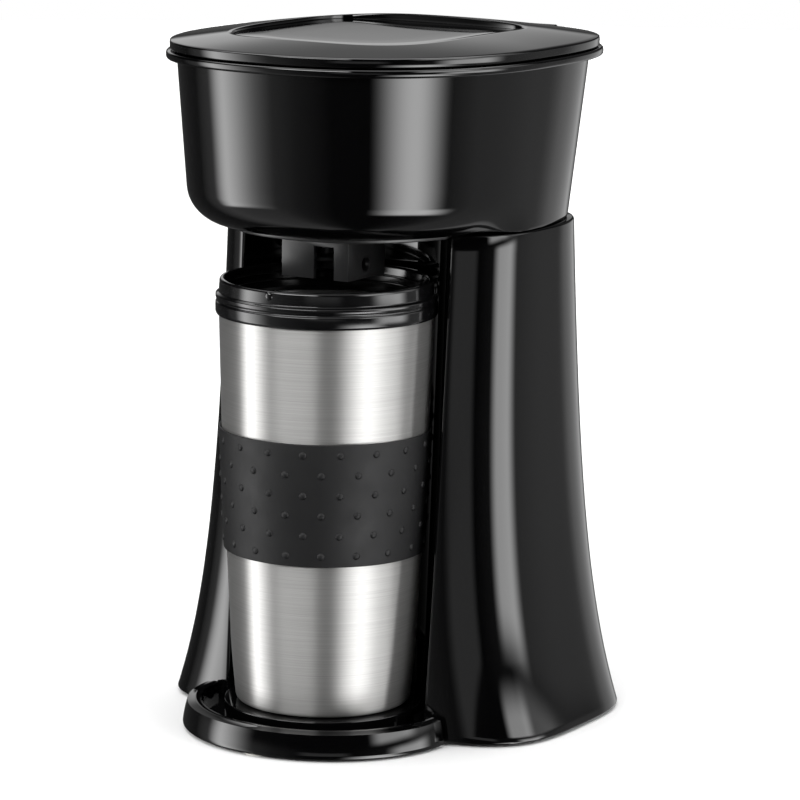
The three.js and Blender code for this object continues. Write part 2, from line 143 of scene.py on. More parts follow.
def wire(name, points, radius, sides=4):
    """A round wire through points."""
    curve = bpy.data.curves.new(name, "CURVE")
    curve.dimensions = "3D"
    curve.bevel_depth = radius * MM
    curve.bevel_resolution = sides
    curve.use_fill_caps = True
    spline = curve.splines.new("POLY")
    spline.points.add(len(points) - 1)
    for target, p in zip(spline.points, points):
        target.co = [c * MM for c in p] + [1]
    piece = bpy.data.objects.new(name, curve)
    bpy.context.scene.collection.objects.link(piece)
    mesh = bpy.data.meshes.new_from_object(piece.evaluated_get(bpy.context.evaluated_depsgraph_get()))
    bpy.data.objects.remove(piece)
    piece = bpy.data.objects.new(name, mesh)
    bpy.context.scene.collection.objects.link(piece)
    return piece


def settle(piece):
    """Applies the piece's modifiers."""
    settled = piece.evaluated_get(bpy.context.evaluated_depsgraph_get())
    piece.data = bpy.data.meshes.new_from_object(settled)
    piece.modifiers.clear()
    return piece


def combine(piece, tool, operation):
    change = piece.modifiers.new("combine", "BOOLEAN")
    change.operation = operation
    change.solver = "EXACT"
    change.object = tool
    settle(piece)
    bpy.data.objects.remove(tool)
    return piece


def cut(piece, *tools):
    for tool in tools:
        combine(piece, tool, "DIFFERENCE")
    return piece


def join(piece, *tools):
    for tool in tools:
        combine(piece, tool, "UNION")
    return piece


def within(piece, tool):
    return combine(piece, tool, "INTERSECT")


def bevel(piece, width, segments=2, angle=35):
    change = piece.modifiers.new("edges", "BEVEL")
    change.width = width * MM
    change.segments = segments
    change.limit_method = "ANGLE"
    change.angle_limit = math.radians(angle)
    return settle(piece)


def moved(piece, matrix):
    piece.data.transform(matrix)
    return piece


def smooth(t):
    u = min(1, max(0, t))
    return u * u * (3 - 2 * u)


def spread(start, end, count):
    return [start + (end - start) * i / (count - 1) for i in range(count)]


def solve(low, high, value):
    """Where a rising function passes zero."""
    for _ in range(40):
        middle = (low + high) / 2
        low, high = (low, middle) if value(middle) > 0 else (middle, high)
    return (low + high) / 2


# ---------- outlines ----------
TURNS = [2 * math.pi * i / AROUND for i in range(AROUND)]


def egg(turn, centre_y, half, front, back):
    """A rounded outline whose front and back halves have their own (depth, squareness)."""
    depth, power = front if math.sin(turn) < 0 else back
    c, s = math.cos(turn), math.sin(turn)
    reach = (abs(c / half) ** power + abs(s / depth) ** power) ** (-1 / power)
    return reach * c, centre_y + reach * s


HOPPER_BOTTOM = 198.3
HOPPER_TOP = 262
FLOOR_TOP = HOPPER_BOTTOM + 2.6
FILLET = 14
BRIM_PROUD = 1.4  # how far the brim stands out past the lid
OUTLET_RADIUS = 9.2


def hopper_at(turn, z, inset=0):
    """The hopper's outline, which grows a little towards the brim."""
    share = (z - HOPPER_BOTTOM) / (HOPPER_TOP - HOPPER_BOTTOM)
    front = (79 + 5.5 * share - inset, 2.25)
    back = (79 + 5 * share - inset, 3 - 0.35 * (1 - share))
    return egg(turn, HOPPER_Y, 66.5 + 4.5 * share - inset, front, back)


def filleted_at(turn, z, inset, radius, bottom):
    """The hopper's outline with the fillet under its overhang, which fades out over the column."""
    rise = min(radius, max(0, z - bottom))
    fillet = radius - math.sqrt(radius**2 - (radius - rise) ** 2)
    fade = 1 - smooth((hopper_at(turn, z, inset)[1] + 30) / 32)
    return hopper_at(turn, z, inset + fillet * fade)


LID_HALF = 74.6
LID_FRONT, LID_BACK = (85.6, 2.25), (89.6, 2.9)  # depth and squareness of its two halves


def lid_at(turn, inset=0):
    """The lid's outline."""
    front, back = ((depth - inset, power) for depth, power in (LID_FRONT, LID_BACK))
    return egg(turn, HOPPER_Y, LID_HALF - inset, front, back)


PANEL_Y = -8


def panel_at(turn, inset=0):
    """The outline of the recess in the lid."""
    return egg(turn, PANEL_Y, 45.5 - inset, (52 - inset, 3), (52 - inset, 7))


def level(at, z, *rest):
    """An outline as a row of points at one height."""
    return [(*at(turn, *rest), z) for turn in TURNS]


# ---------- column ----------
COLUMN_TOP = 197.9
COLUMN_BOTTOM = 1.2
NICHE_LOW, NICHE_HIGH = 45, 49  # radius of the niche at its two ends
NICHE_FROM, NICHE_TALL = -2, 204
COVER_HALF, COVER_BOTTOM, COVER_TOP = 44, 32, 184
FOOT_WALL, FOOT_TOP = 2.8, 5  # the wall round the base plate is thicker and upright
NICHE_EDGE = 1.5  # rounding where the niche meets the outside
SIDE, BACK, NICHE, EDGE = 64, 16, 90, 5  # points along each stretch of a section


def column_at(turn, z, inset=0):
    """The column's outline, which flares out towards the table."""
    share = z / COLUMN_TOP
    half = 66 + 21 * math.exp(-z / 57) - inset
    front = (61 - 11 * share - inset, 4)
    return egg(turn, COLUMN_Y, half, front, (62 - 7 * share - inset, 3 - 0.7 * share))


def niche_radius(z):
    return NICHE_LOW + (NICHE_HIGH - NICHE_LOW) * (z - NICHE_FROM) / NICHE_TALL


def bend(start, corner, end):
    """Points of a short curve between two stretches, ends left out."""
    points = []
    for k in range(1, EDGE + 1):
        t = k / (EDGE + 1)
        weights = ((1 - t) ** 2, 2 * t * (1 - t), t * t)
        points.append(tuple(sum(w * p[i] for w, p in zip(weights, (start, corner, end))) for i in (0, 1)))
    return points


def mirrored(points):
    return [(-x, y) for x, y in reversed(points)]


def column_section(z, inset=0):
    """The column at a height: round the outside from the niche's right edge to its left, then the niche."""
    radius = niche_radius(z) + inset
    outside = lambda turn: column_at(turn, z, inset)
    from_mug = lambda p: math.hypot(p[0], p[1] - MUG_Y)
    mouth = solve(-math.pi / 2, 0, lambda turn: from_mug(outside(turn)) - radius)
    cover = solve(0.3, math.pi / 2, lambda turn: COVER_HALF - outside(turn)[0])
    corner = outside(mouth)
    speed = math.dist(outside(mouth + 0.01), corner) / 0.01
    half = [outside(t) for t in spread(mouth + NICHE_EDGE / speed, cover, SIDE)]
    half += [outside(t) for t in spread(cover, math.pi / 2, BACK)][1:]
    first = math.atan2(corner[1] - MUG_Y, corner[0]) + NICHE_EDGE / radius
    round_niche = spread(math.pi - first, first, NICHE)
    niche = [(radius * math.cos(a), MUG_Y + radius * math.sin(a)) for a in round_niche]
    right = bend(niche[-1], corner, half[0])
    return half + mirrored(half[:-1]) + mirrored(right) + niche + right


def raised(section, z):
    return [(x, y, z) for x, y in section]


def column_shell():
    below, beside = 13, 33  # rows of faces below the cover, and beside it
    levels = spread(2.1, COVER_BOTTOM, below + 1) + spread(COVER_BOTTOM, COVER_TOP, beside + 1)[1:]
    foot = [(COLUMN_BOTTOM, 0.9), (1.35, 0.4), (1.65, 0.13)]
    head = [(190, 0), (197, 0), (197.45, 0.13), (197.75, 0.4), (COLUMN_TOP, 0.9)]
    outer = [raised(column_section(z, inset), z) for z, inset in foot]
    outer += [raised(column_section(z), z) for z in levels]
    outer += [raised(column_section(z, inset), z) for z, inset in head]
    foot_inside = column_section(0, FOOT_WALL)
    inner = [raised(foot_inside, COLUMN_BOTTOM)]
    inner += [raised(foot_inside if z < FOOT_TOP else column_section(z, WALL), z) for z in levels]
    inner.append(raised(column_section(COLUMN_TOP - WALL, WALL), COLUMN_TOP - WALL))
    count = len(outer[0])
    sides = (SIDE - 1, SIDE - 1 + 2 * (BACK - 1))  # the stretch behind the cover

    def walls(rows, first, row_offset):
        """The faces of one skin, without the opening for the rear cover."""
        faces = []
        for k in range(len(rows) - 1):
            open_here = row_offset + below <= k < row_offset + below + beside
            for i in range(count):
                if open_here and sides[0] <= i < sides[1]:
                    continue
                j = (i + 1) % count
                low, high = first + k * count, first + (k + 1) * count
                faces.append((low + i, low + j, high + j, high + i))
        return faces

    start = len(outer) * count
    faces = walls(outer, 0, len(foot)) + walls(inner, start, 1)
    top_outer, top_inner = (len(outer) - 1) * count, start + (len(inner) - 1) * count
    faces += [tuple(range(top_outer, top_outer + count)), tuple(range(top_inner, top_inner + count))]
    faces += [(i, (i + 1) % count, start + (i + 1) % count, start + i) for i in range(count)]
    out_at = lambda k, i: (len(foot) + k) * count + i
    in_at = lambda k, i: start + (1 + k) * count + i
    for k in range(below, below + beside):
        for i in sides:
            faces.append((out_at(k, i), out_at(k + 1, i), in_at(k + 1, i), in_at(k, i)))
    for i in range(*sides):
        for k in (below, below + beside):
            faces.append((out_at(k, i), out_at(k, i + 1), in_at(k, i + 1), in_at(k, i)))
    shell = mesh_object("fine_column_shell", [p for row in outer + inner for p in row], faces)
    cut(shell, switch_placed(box("pocket", -5.9, 5.9, -6, 12, -8.3, 8.3)))
    return cut(shell, moved(post("hole", 0, 0, 60, 100, 5.4), INLET_PLACE))


def rear_cover():
    """The service panel: a slab between the outside and the inside of the wall, its outer edges rounded."""
    half = COVER_HALF - GAP
    across = spread(-half + 0.5, half - 0.5, 41)
    turn_for = lambda x, z, inset: solve(0.1, math.pi - 0.1, lambda t: x - column_at(t, z, inset)[0])

    def row(z, sink):
        outer = [(x, column_at(turn_for(x, z, 0), z, 0)[1] - sink) for x in across]
        inner = [(x, column_at(turn_for(x, z, WALL), z, WALL)[1]) for x in (-half, *across[1:-1], half)]
        left = [(-half, outer[0][1] - 0.5), (-half + 0.15, outer[0][1] - 0.15)]
        return raised(left + outer + [(-x, y) for x, y in reversed(left)] + inner[::-1], z)

    low, high = COVER_BOTTOM + GAP, COVER_TOP - GAP
    ends = [(0, 0.5), (0.15, 0.15), (0.5, 0)]
    rows = [row(low + rise, sink) for rise, sink in ends]
    rows += [row(z, 0) for z in spread(low + 6, high - 6, 24)]
    rows += [row(high - rise, sink) for rise, sink in reversed(ends)]
    return rings("fine_rear_cover", rows)


def base_plate():
    inset = WALL + 0.8
    rows = [level(column_at, z, 0, inset + more) for z, more in [(2, 0.5), (2.4, 0), (4.2, 0), (4.6, 0.4)]]
    plate = join(rings("fine_base_plate", rows), post("disc", 0, MUG_Y, 2, 4.6, 41, sides=128))
    for x, y in BASE_SCREWS:
        cut(plate, post("hole", x, y, 0, 8, 1.9))
    for x in spread(-40, 40, 9):  # air slots under the heater
        cut(plate, bevel(box("slot", x - 1.4, x + 1.4, 22, 46, 0, 8), 1.2, 3))
    return plate


BASE_SCREWS = [(73.5, 23), (-73.5, 23), (30, 77), (-30, 77)]
FEET = [(66, -8), (-66, -8), (56, 60), (-56, 60), (22, -60), (-22, -60)]


def base_screw(name, x, y):
    profile = [(0, 0.6), (2.6, 0.6), (3.2, 1.1), (3.2, 1.7), (1.1, 1.7), (1.1, 16), (0, 16)]
    screw = turned(name, profile, x, y, 48, 0.15)
    for long, short in ((2, 0.35), (0.35, 2)):
        cut(screw, box("recess", x - long, x + long, y - short, y + short, 0, 1.2))
    return screw


def foot(name, x, y):
    return turned(name, [(0, 0), (6.4, 0), (7.2, 0.6), (7.2, 1.7), (0, 1.7)], x, y, 64, 0.4)


INLET_Z = 17
INLET_PLACE = Matrix.Translation((0, 0, INLET_Z * MM)) @ Matrix.Rotation(-math.pi / 2, 4, "X")


def cord_inlet():
    face = column_at(math.pi / 2, INLET_Z)[1] + GAP
    profile = [(3.2, -7), (5, -7), (5, 0), (8.4, 0), (8.4, 1.6), (6.6, 3.4), (3.2, 3.4)]
    made = turned("fine_cord_inlet", [(r, z + face) for r, z in profile], 0, 0, 64, 0.5)
    return moved(made, INLET_PLACE)


# ---------- switch ----------
SWITCH_PLACE = (
    Matrix.Translation((0, MUG_Y * MM, 0))
    @ Matrix.Rotation(math.radians(-16), 4, "Z")
    @ Matrix.Translation((0, 45.4 * MM, 20.5 * MM))
)


def switch_placed(piece):
    return moved(piece, SWITCH_PLACE)


def switch_frame():
    bezel = box("fine_switch_frame", -7, 7, -2.6, -1.6, -9, 9)
    join(bezel, box("body", -5.6, 5.6, -1.9, 10, -8, 8))
    cut(bezel, box("opening", -4.4, 4.4, -4, 7, -6.6, 6.6))
    return switch_placed(bevel(bezel, 0.3))


def rocker_switch():
    """A rocker with a dished face, and a raised dash and ring as its on and off marks."""
    front = [(-3.9 + 1.6 * (1 - (z / 6) ** 2), z) for z in spread(-6, 6, 15)]
    outline = front + [(3.2, 4.4), (3.2, -4.4)]
    rows = [[(x, y, z) for y, z in outline] for x in (-3.9, 3.9)]
    rocker = bevel(rings("fine_rocker_switch", rows), 0.35)
    join(rocker, bevel(box("dash", -0.25, 0.25, -3.75, -2.5, 2.3, 4.6), 0.1))
    ring = turned("ring", [(0.8, 2.9), (1.25, 2.9), (1.25, 3.55), (0.8, 3.55)], 0, 0, 32)
    join(rocker, moved(ring, Matrix.Translation((0, 0, -3.4 * MM)) @ Matrix.Rotation(math.pi / 2, 4, "X")))
    return switch_placed(rocker)


# ---------- drip tray ----------
TRAY_HALF, TRAY_DEPTH, TRAY_RIM, TRAY_BACK = 56, 53, 11.2, -37.7


def tray_at(turn, inset):
    return egg(turn, MUG_Y, TRAY_HALF - inset, (TRAY_DEPTH - inset, 2), (TRAY_DEPTH - inset, 2))


def drip_tray():
    floor, top = 4.9, 6.4
    side = [(1.3, 0.15)] + [(z, 0.02 * (z - 2) ** 1.8 + 0.1 * (z - 2)) for z in spread(2, 10.4, 12)]
    profile = [(floor, 3), (1.1, 3), (0.9, 2.5), (0.9, 0.7), *side]
    profile += [(10.9, 4.15), (11.1, 4.5), (TRAY_RIM, 5), (TRAY_RIM, 6.6)]
    profile += [(11.05, 7), (10.7, 7.2), (top, 7.2)]
    skirt = rings("fine_drip_tray", [level(tray_at, z, inset) for z, inset in profile])
    within(skirt, box("ahead", -80, 80, -120, TRAY_BACK, -5, 40))
    wall = [(44.3, floor), (44.3, TRAY_RIM), (42.5, TRAY_RIM), (42.5, top)]
    drum = turned("drum", [(0, floor), *wall, (0, top)])
    within(drum, box("behind", -80, 80, TRAY_BACK - 0.5, 20, -5, 40))
    cut(drum, box("front", -42.5, 42.5, TRAY_BACK - 2, TRAY_BACK, top, 40))
    seat = turned("seat", [(0, floor), (38.8, floor), (38.8, 11.9), (0, 11.9)], radius=0.4)
    ribs = turned("groove", [(30, 11.4), (31.2, 11.4), (31.2, 13), (30, 13)])
    join(skirt, drum, seat)
    return cut(skirt, ribs, post("under", 0, MUG_Y, 0, 10.1, 37, sides=96))


# ---------- travel mug ----------
STEEL_TOP = 168
MUG_SIDE = [(34.4, 14), (36.1, 32), (38.2, 73), (40.4, 121), (41.8, STEEL_TOP)]


def mug_radius(z, inset=0):
    for (r0, z0), (r1, z1) in zip(MUG_SIDE, MUG_SIDE[1:]):
        if z <= z1 or z1 == STEEL_TOP:
            return r0 + (r1 - r0) * (z - z0) / (z1 - z0) - inset


def mug_shell():
    outside = [(mug_radius(z), z) for z in spread(14.4, STEEL_TOP, 24)]
    inside = [(mug_radius(z, 0.9), z) for z in spread(STEEL_TOP - 0.1, 15.6, 12)]
    bottom = [(0, 13.4), (29.3, 13.4), (29.3, 12.5), (29.8, 12.2), (32.4, 12.2), (33.3, 12.5), (34.1, 13.3)]
    return turned("fine_mug_shell", bottom + outside + inside + [(31.5, 14.9), (0, 14.9)])


def mug_liner():
    outside = [(mug_radius(z, 2.6), z) for z in spread(21, STEEL_TOP, 12)]
    inside = [(mug_radius(z, 3.5), z) for z in spread(STEEL_TOP, 22, 12)]
    profile = [(0, 18), (31, 18), (31.9, 19), *outside, *inside, (30.6, 21.9), (0, 21.9)]
    return turned("fine_mug_liner", profile)


def mug_collar():
    """The plastic ring that the mug's lid screws on to, with a stepped band and a thread inside."""
    profile = [
        (42.1, 165.2), (42.7, 165.2), (43.1, 166.2), (43.1, 169.9), (42.5, 170.4),
        (42.5, 171.1), (43.05, 171.5), (43.05, 173.0), (41.8, 173.8), (41.55, 178.2), (41.1, 179.0),
        (39.9, 179.0), (39.4, 178.3), (38.2, 169.8), (38.2, 168.3), (42.1, 168.3),
    ]
    collar = turned("fine_mug_collar", profile, radius=0.35)
    turns = 1.6
    steps = int(turns * 64)
    thread = []
    for i in range(steps + 1):
        angle = 2 * math.pi * turns * i / steps
        radius = 38.75 + 0.35 * i / steps - 0.15
        thread.append((radius * math.cos(angle), MUG_Y + radius * math.sin(angle), 171.6 + 4.6 * i / steps))
    parts = [wire("thread", thread, 0.5), collar_pip(), collar_tab()]
    return merged(collar, parts)


def collar_pip():
    """The round aligning mark at the front of the rim."""
    dome = [(0, -1), (1.7, -1), (1.7, 0.2), (1.4, 0.55), (0.9, 0.75), (0.35, 0.83), (0, 0.83)]
    place = Matrix.Translation((0, (MUG_Y - 41.4) * MM, 177 * MM)) @ Matrix.Rotation(math.pi / 2, 4, "X")
    return moved(turned("pip", dome, 0, 0, 32), place)


def collar_tab():
    """The catch of the mug's lid, at the side."""
    tab = bevel(box("tab", 40.6, 42.9, -2.4, 2.4, 173.2, 178.4), 0.5, 3)
    place = Matrix.Translation((0, MUG_Y * MM, 0)) @ Matrix.Rotation(math.radians(31), 4, "Z")
    return moved(tab, place)


def merged(piece, parts):
    """One object from several closed bodies."""
    work = bmesh.new()
    for part in (piece, *parts):
        work.from_mesh(part.data)
    work.to_mesh(piece.data)
    work.free()
    for part in parts:
        bpy.data.objects.remove(part)
    return piece


SLEEVE_BOTTOM, SLEEVE_TOP = 73, 121
PIPS_ROUND, PIP_PITCH, PIP_RADIUS, PIP_HEIGHT = 18, 7.9, 1.35, 0.6


def mug_sleeve():
    low, high = mug_radius(SLEEVE_BOTTOM), mug_radius(SLEEVE_TOP)
    profile = [(low + GAP, SLEEVE_BOTTOM), (low + 1.2, SLEEVE_BOTTOM)]
    profile += [(high + 1.2, SLEEVE_TOP), (high + GAP, SLEEVE_TOP)]
    sleeve = turned("fine_mug_sleeve", profile, radius=0.45)
    lean = math.atan2(high - low, SLEEVE_TOP - SLEEVE_BOTTOM)
    dome = [(0, -0.4), (PIP_RADIUS + 0.1, -0.4), (PIP_RADIUS + 0.1, 0.0), (PIP_RADIUS, 0.12)]
    for a in spread(0.3, 1.35, 4):
        dome.append((PIP_RADIUS * math.cos(a), 0.12 + (PIP_HEIGHT - 0.12) * math.sin(a)))
    pips = []
    for row in range(6):
        z = (SLEEVE_BOTTOM + SLEEVE_TOP) / 2 + (row - 2.5) * PIP_PITCH
        for i in range(PIPS_ROUND):
            angle = 2 * math.pi * (i + row % 2 / 2) / PIPS_ROUND
            out = Matrix.Rotation(angle, 4, "Z") @ Matrix.Translation(((mug_radius(z) + 1.2) * MM, 0, z * MM))
            tilt = Matrix.Rotation(math.pi / 2 + lean, 4, "Y")
            pip = turned("pip", dome + [(0, PIP_HEIGHT)], 0, 0, 16)
            pips.append(moved(pip, Matrix.Translation((0, MUG_Y * MM, 0)) @ out @ tilt))
    return merged(sleeve, pips)


# ---------- hopper ----------
def fillet_levels(bottom, radius):
    return [bottom + radius * (1 - math.cos(a)) for a in spread(0, math.pi / 2, 12)]


def hopper_shell():
    rows = []
    for z in fillet_levels(HOPPER_BOTTOM, FILLET):
        trim = max(0, 0.35 - (z - HOPPER_BOTTOM)) ** 2 / 0.35
        rows.append(level(filleted_at, z, z, trim, FILLET, HOPPER_BOTTOM))
    rows += [level(hopper_at, z, z) for z in spread(218, 261.5, 12)]
    brim = [(261.8, 0.9), (262, 0.4), (262.4, 0.1), (262.9, 0)]
    brim += [(264, 0), (264.5, 0.1), (264.85, 0.4), (265, 0.9)]
    rows += [level(lid_at, z, inset - BRIM_PROUD) for z, inset in brim]
    rows += [level(hopper_at, 265, HOPPER_TOP, WALL - 0.4), level(hopper_at, 264.6, HOPPER_TOP, WALL)]
    rows += [level(hopper_at, z, z, WALL) for z in (258, 245, 230, 218)]
    inner = FILLET - WALL
    for z in reversed(fillet_levels(FLOOR_TOP, inner)):
        rows.append(level(filleted_at, z, z, WALL, inner, FLOOR_TOP))
    hopper = rings("fine_hopper_shell", rows)
    cut(hopper, post("outlet", 0, MUG_Y, 190, 210, OUTLET_RADIUS))
    return cut(hopper, post("riser", 0, 21, 190, 210, 5.2), post("feed", -22, 38, 190, 210, 5.2))


def underside_plate():
    top = HOPPER_BOTTOM - GAP
    steps = [(196.6, 16.6), (196.75, 16.2), (197.1, 16), (top, 16)]
    plate = rings("fine_underside_plate", [level(hopper_at, z, HOPPER_BOTTOM, inset) for z, inset in steps])
    disc = post("disc", 0, MUG_Y, 190, 200, 48.2, sides=128)
    open_part = join(disc, box("front", -80, 80, -120, -40, 190, 200))
    within(plate, open_part)
    groove = turned("groove", [(38, 196), (39, 196), (39, 197), (38, 197)])
    return cut(plate, post("outlet", 0, MUG_Y, 190, 200, OUTLET_RADIUS), groove)


def water_reservoir():
    bottom, front = FLOOR_TOP + GAP, 27
    outer = rings("fine_water_reservoir", [level(hopper_at, z, z, WALL + 0.6) for z in (bottom, 230, 256)])
    within(outer, box("behind", -90, 90, front, 120, 190, 270))
    inner = rings("inside", [level(hopper_at, z, z, WALL + 2.4) for z in (bottom + 1.8, 230, 258)])
    within(inner, box("behind", -90, 90, front + 1.8, 120, 190, 270))
    cut(outer, inner, post("outlet", -22, 38, 190, 206, 3))
    marks = [box("mark", 26, 34, front + 1.7, front + 2.1, z, z + 0.6) for z in (228, 246)]
    return merged(bevel(outer, 0.3), marks)


def filter_basket():
    profile = [
        (7, 201.6), (8, 201.6), (8, 205), (31, 206.5), (36, 248), (38.4, 248),
        (38.4, 250), (34.6, 250), (29.8, 208.4), (7, 206.8),
    ]
    return turned("fine_filter_basket", profile, radius=0.6)


def permanent_filter():
    """A mesh cone with a bridge to lift it by."""
    profile = [
        (0, 210), (22, 210), (32.6, 250.4), (35.4, 250.6),
        (35.4, 252), (31.2, 252), (20.8, 211.6), (0, 211.6),
    ]
    cone = turned("fine_permanent_filter", profile, radius=0.4)
    bridge = bevel(box("bridge", -32.4, 32.4, MUG_Y - 2.5, MUG_Y + 2.5, 250.6, 252), 0.4)
    return merged(cone, [bridge])


# ---------- brew outlet ----------
def spout_block():
    front, back = MUG_Y - 9, MUG_Y + 18
    block = box("fine_spout_block", -15, 15, front, back, 179.6, 196.3)
    cut(block, box("inside", -13, 13, front + 2, back - 2, 178.6, 194.3))
    cut(block, box("window", -0.5, 8.6, front - 1, front + 3, 178.6, 192.3))
    cut(block, axle("drain", 5, 20, MUG_Y + 4, 185, 2.9))
    cut(block, post("outlet", 0, MUG_Y, 190, 200, 7.4))
    return bevel(block, 0.4, 3)


def drip_valve():
    profile = [(0, 186), (5.6, 186), (5.6, 187.6), (2.4, 188.6), (2.4, 207.6), (0, 207.6)]
    return turned("fine_drip_valve", profile, sides=64, radius=0.5)


def valve_spring():
    turns = 4
    route = []
    for i in range(turns * 32 + 1):
        angle = 2 * math.pi * i / 32
        route.append((4.2 * math.cos(angle), MUG_Y + 4.2 * math.sin(angle), 189.6 + 9 * i / (turns * 32)))
    return wire("fine_valve_spring", route, 0.45)


def outlet_nozzle():
    nozzle = post("fine_outlet_nozzle", 0, 21, 256.3, 262.4, 5.4)
    return bevel(join(nozzle, box("arm", -4, 4, 4.5, 21, 258.2, 262.4)), 0.6, 3)


# ---------- lid ----------
LID_EDGE, LID_CROWN = 269.1, 275.3
RECESS_FLOOR = 269.9
HINGE_Y, HINGE_Z, HINGE_RADIUS = 80, 267.8, 2.4
HINGE_HALF = 34
PIN_BORE = 1.5
LID_SWING = 1.2
CROWN_REACH = 58
EDGE_INSET = 0.5
DEEPEST = 74  # an inset just short of the lid's half width


def crown_height(x, y):
    """The crowned top's height, from how far inside the lid's outline a point lies."""
    depth, power = LID_FRONT if y < HOPPER_Y else LID_BACK
    outside = lambda i: abs(x / (LID_HALF - i)) ** power + abs((y - HOPPER_Y) / (depth - i)) ** power - 1
    share = min(1, max(0, (solve(0, DEEPEST, outside) - EDGE_INSET) / CROWN_REACH))
    return LID_EDGE + (LID_CROWN - LID_EDGE) * (1 - (1 - share) ** 1.4)


def crowned_rows():
    """The lid's skin from its underside round the edge and over the crown to the recess."""
    edge = [(265.4, 0.6), (265.5, 0.3), (265.8, 0.06), (266.2, 0), (268.5, 0), (268.8, 0.06), (269, 0.25)]
    rows = [level(lid_at, z, inset) for z, inset in edge]
    for share in spread(0, 1, 16):
        ring = []
        for turn in TURNS:
            (x0, y0), (x1, y1) = lid_at(turn, EDGE_INSET + 0.1), panel_at(turn, -0.5)
            x, y = x0 + (x1 - x0) * share, y0 + (y1 - y0) * share
            ring.append((x, y, crown_height(x, y)))
        rows.append(ring)
    return rows


def pin_bore():
    return axle("bore", -50, 50, HINGE_Y, HINGE_Z, PIN_BORE)


def lid():
    rows = crowned_rows()
    rim = rows[-1]
    for inset, drop in ((-0.2, 0.12), (0, 0.5)):
        rows.append([(*panel_at(turn, inset), z - drop) for turn, (_, _, z) in zip(TURNS, rim)])
    rows += [level(panel_at, RECESS_FLOOR + rise, 0) for rise in (0.8, 0.3)]
    rows += [level(panel_at, RECESS_FLOOR, 0.3)]
    made = rings("fine_lid", rows)
    cut(made, box("rear", -90, 90, HINGE_Y, 120, 260, 290))
    underside = ((260, 0), (267.1, 0), (267.7, 0.8))
    hollow = rings("hollow", [level(lid_at, z, WALL + more) for z, more in underside])
    cut(made, within(hollow, box("ahead", -90, 90, -120, 74, 250, 280)))
    join(made, axle("barrel", -HINGE_HALF, HINGE_HALF, HINGE_Y, HINGE_Z, HINGE_RADIUS))
    for x0, x1 in ((HINGE_HALF, 60), (-60, -HINGE_HALF)):
        cut(made, box("lug_space", x0, x1, 75.6, 95, 260, 290))
    return cut(made, pin_bore())


def lid_panel():
    steps = [(0.3, 0.5), (0.45, GAP), (0.8, GAP), (1.05, 0.45), (1.22, 0.8), (1.3, 1.4)]
    rows = [level(panel_at, RECESS_FLOOR + rise, inset) for rise, inset in steps]
    rim = rows[-1]
    for share in (0.75, 0.5, 0.25, 0.05):
        rows.append([(x * share, PANEL_Y + (y - PANEL_Y) * share, z + 0.06) for x, y, z in rim])
    return rings("fine_lid_panel", rows)


def hinge_cover():
    made = rings("fine_hinge_cover", crowned_rows())
    within(made, box("rear", -90, 90, 76.4, 120, 260, 290))
    half = HINGE_HALF + 0.4
    cut(made, axle("clear", -half, half, HINGE_Y, HINGE_Z, HINGE_RADIUS + LID_SWING))
    cut(made, box("lid_space", -half, half, 60, HINGE_Y, 260, 290))
    return cut(made, pin_bore())


# ---------- materials ----------
class Nodes:
    """A small helper for writing a node tree."""

    def __init__(self, tree):
        self.tree = tree

    def add(self, kind, inputs=(), **settings):
        node = self.tree.nodes.new(kind)
        for key, value in settings.items():
            setattr(node, key, value)
        for key, value in dict(inputs).items():
            if isinstance(value, bpy.types.NodeSocket):
                self.tree.links.new(value, node.inputs[key])
            else:
                node.inputs[key].default_value = value
        return node

    def maths(self, operation, a, b=0.0, c=0.0):
        return self.add("ShaderNodeMath", {0: a, 1: b, 2: c}, operation=operation).outputs[0]

    def span(self, value, low, high, to_low, to_high, smoothly=False):
        kind = "SMOOTHSTEP" if smoothly else "LINEAR"
        sockets = {"Value": value, "From Min": low, "From Max": high, "To Min": to_low, "To Max": to_high}
        return self.add("ShaderNodeMapRange", sockets, interpolation_type=kind).outputs["Result"]

    def noise(self, where, scale, detail=2.0):
        sockets = {"Vector": where, "Scale": scale, "Detail": detail}
        return self.add("ShaderNodeTexNoise", sockets).outputs["Fac"]

    def mix(self, share, a, b):
        node = self.add("ShaderNodeMix", data_type="RGBA")
        self.tree.links.new(share, node.inputs["Factor"])
        for name, colour in (("A", a), ("B", b)):
            sockets = [s for s in node.inputs if s.name == name and s.type == "RGBA"]
            if isinstance(colour, bpy.types.NodeSocket):
                self.tree.links.new(colour, sockets[0])
            else:
                sockets[0].default_value = (*colour, 1)
        return [s for s in node.outputs if s.type == "RGBA"][0]

    def bump(self, height, strength, distance):
        sockets = {"Height": height, "Strength": strength, "Distance": distance * MM}
        return self.add("ShaderNodeBump", sockets).outputs["Normal"]


def new_material(name):
    material = bpy.data.materials.new(name)
    material.use_nodes = True
    nodes = Nodes(material.node_tree)
    shader = material.node_tree.nodes["Principled BSDF"]
    where = nodes.add("ShaderNodeTexCoord").outputs["Object"]
    return material, nodes, shader, where


def dress(nodes, shader, colour=None, roughness=None, normal=None):
    for name, socket in (("Base Color", colour), ("Roughness", roughness), ("Normal", normal)):
        if socket is not None:
            nodes.tree.links.new(socket, shader.inputs[name])


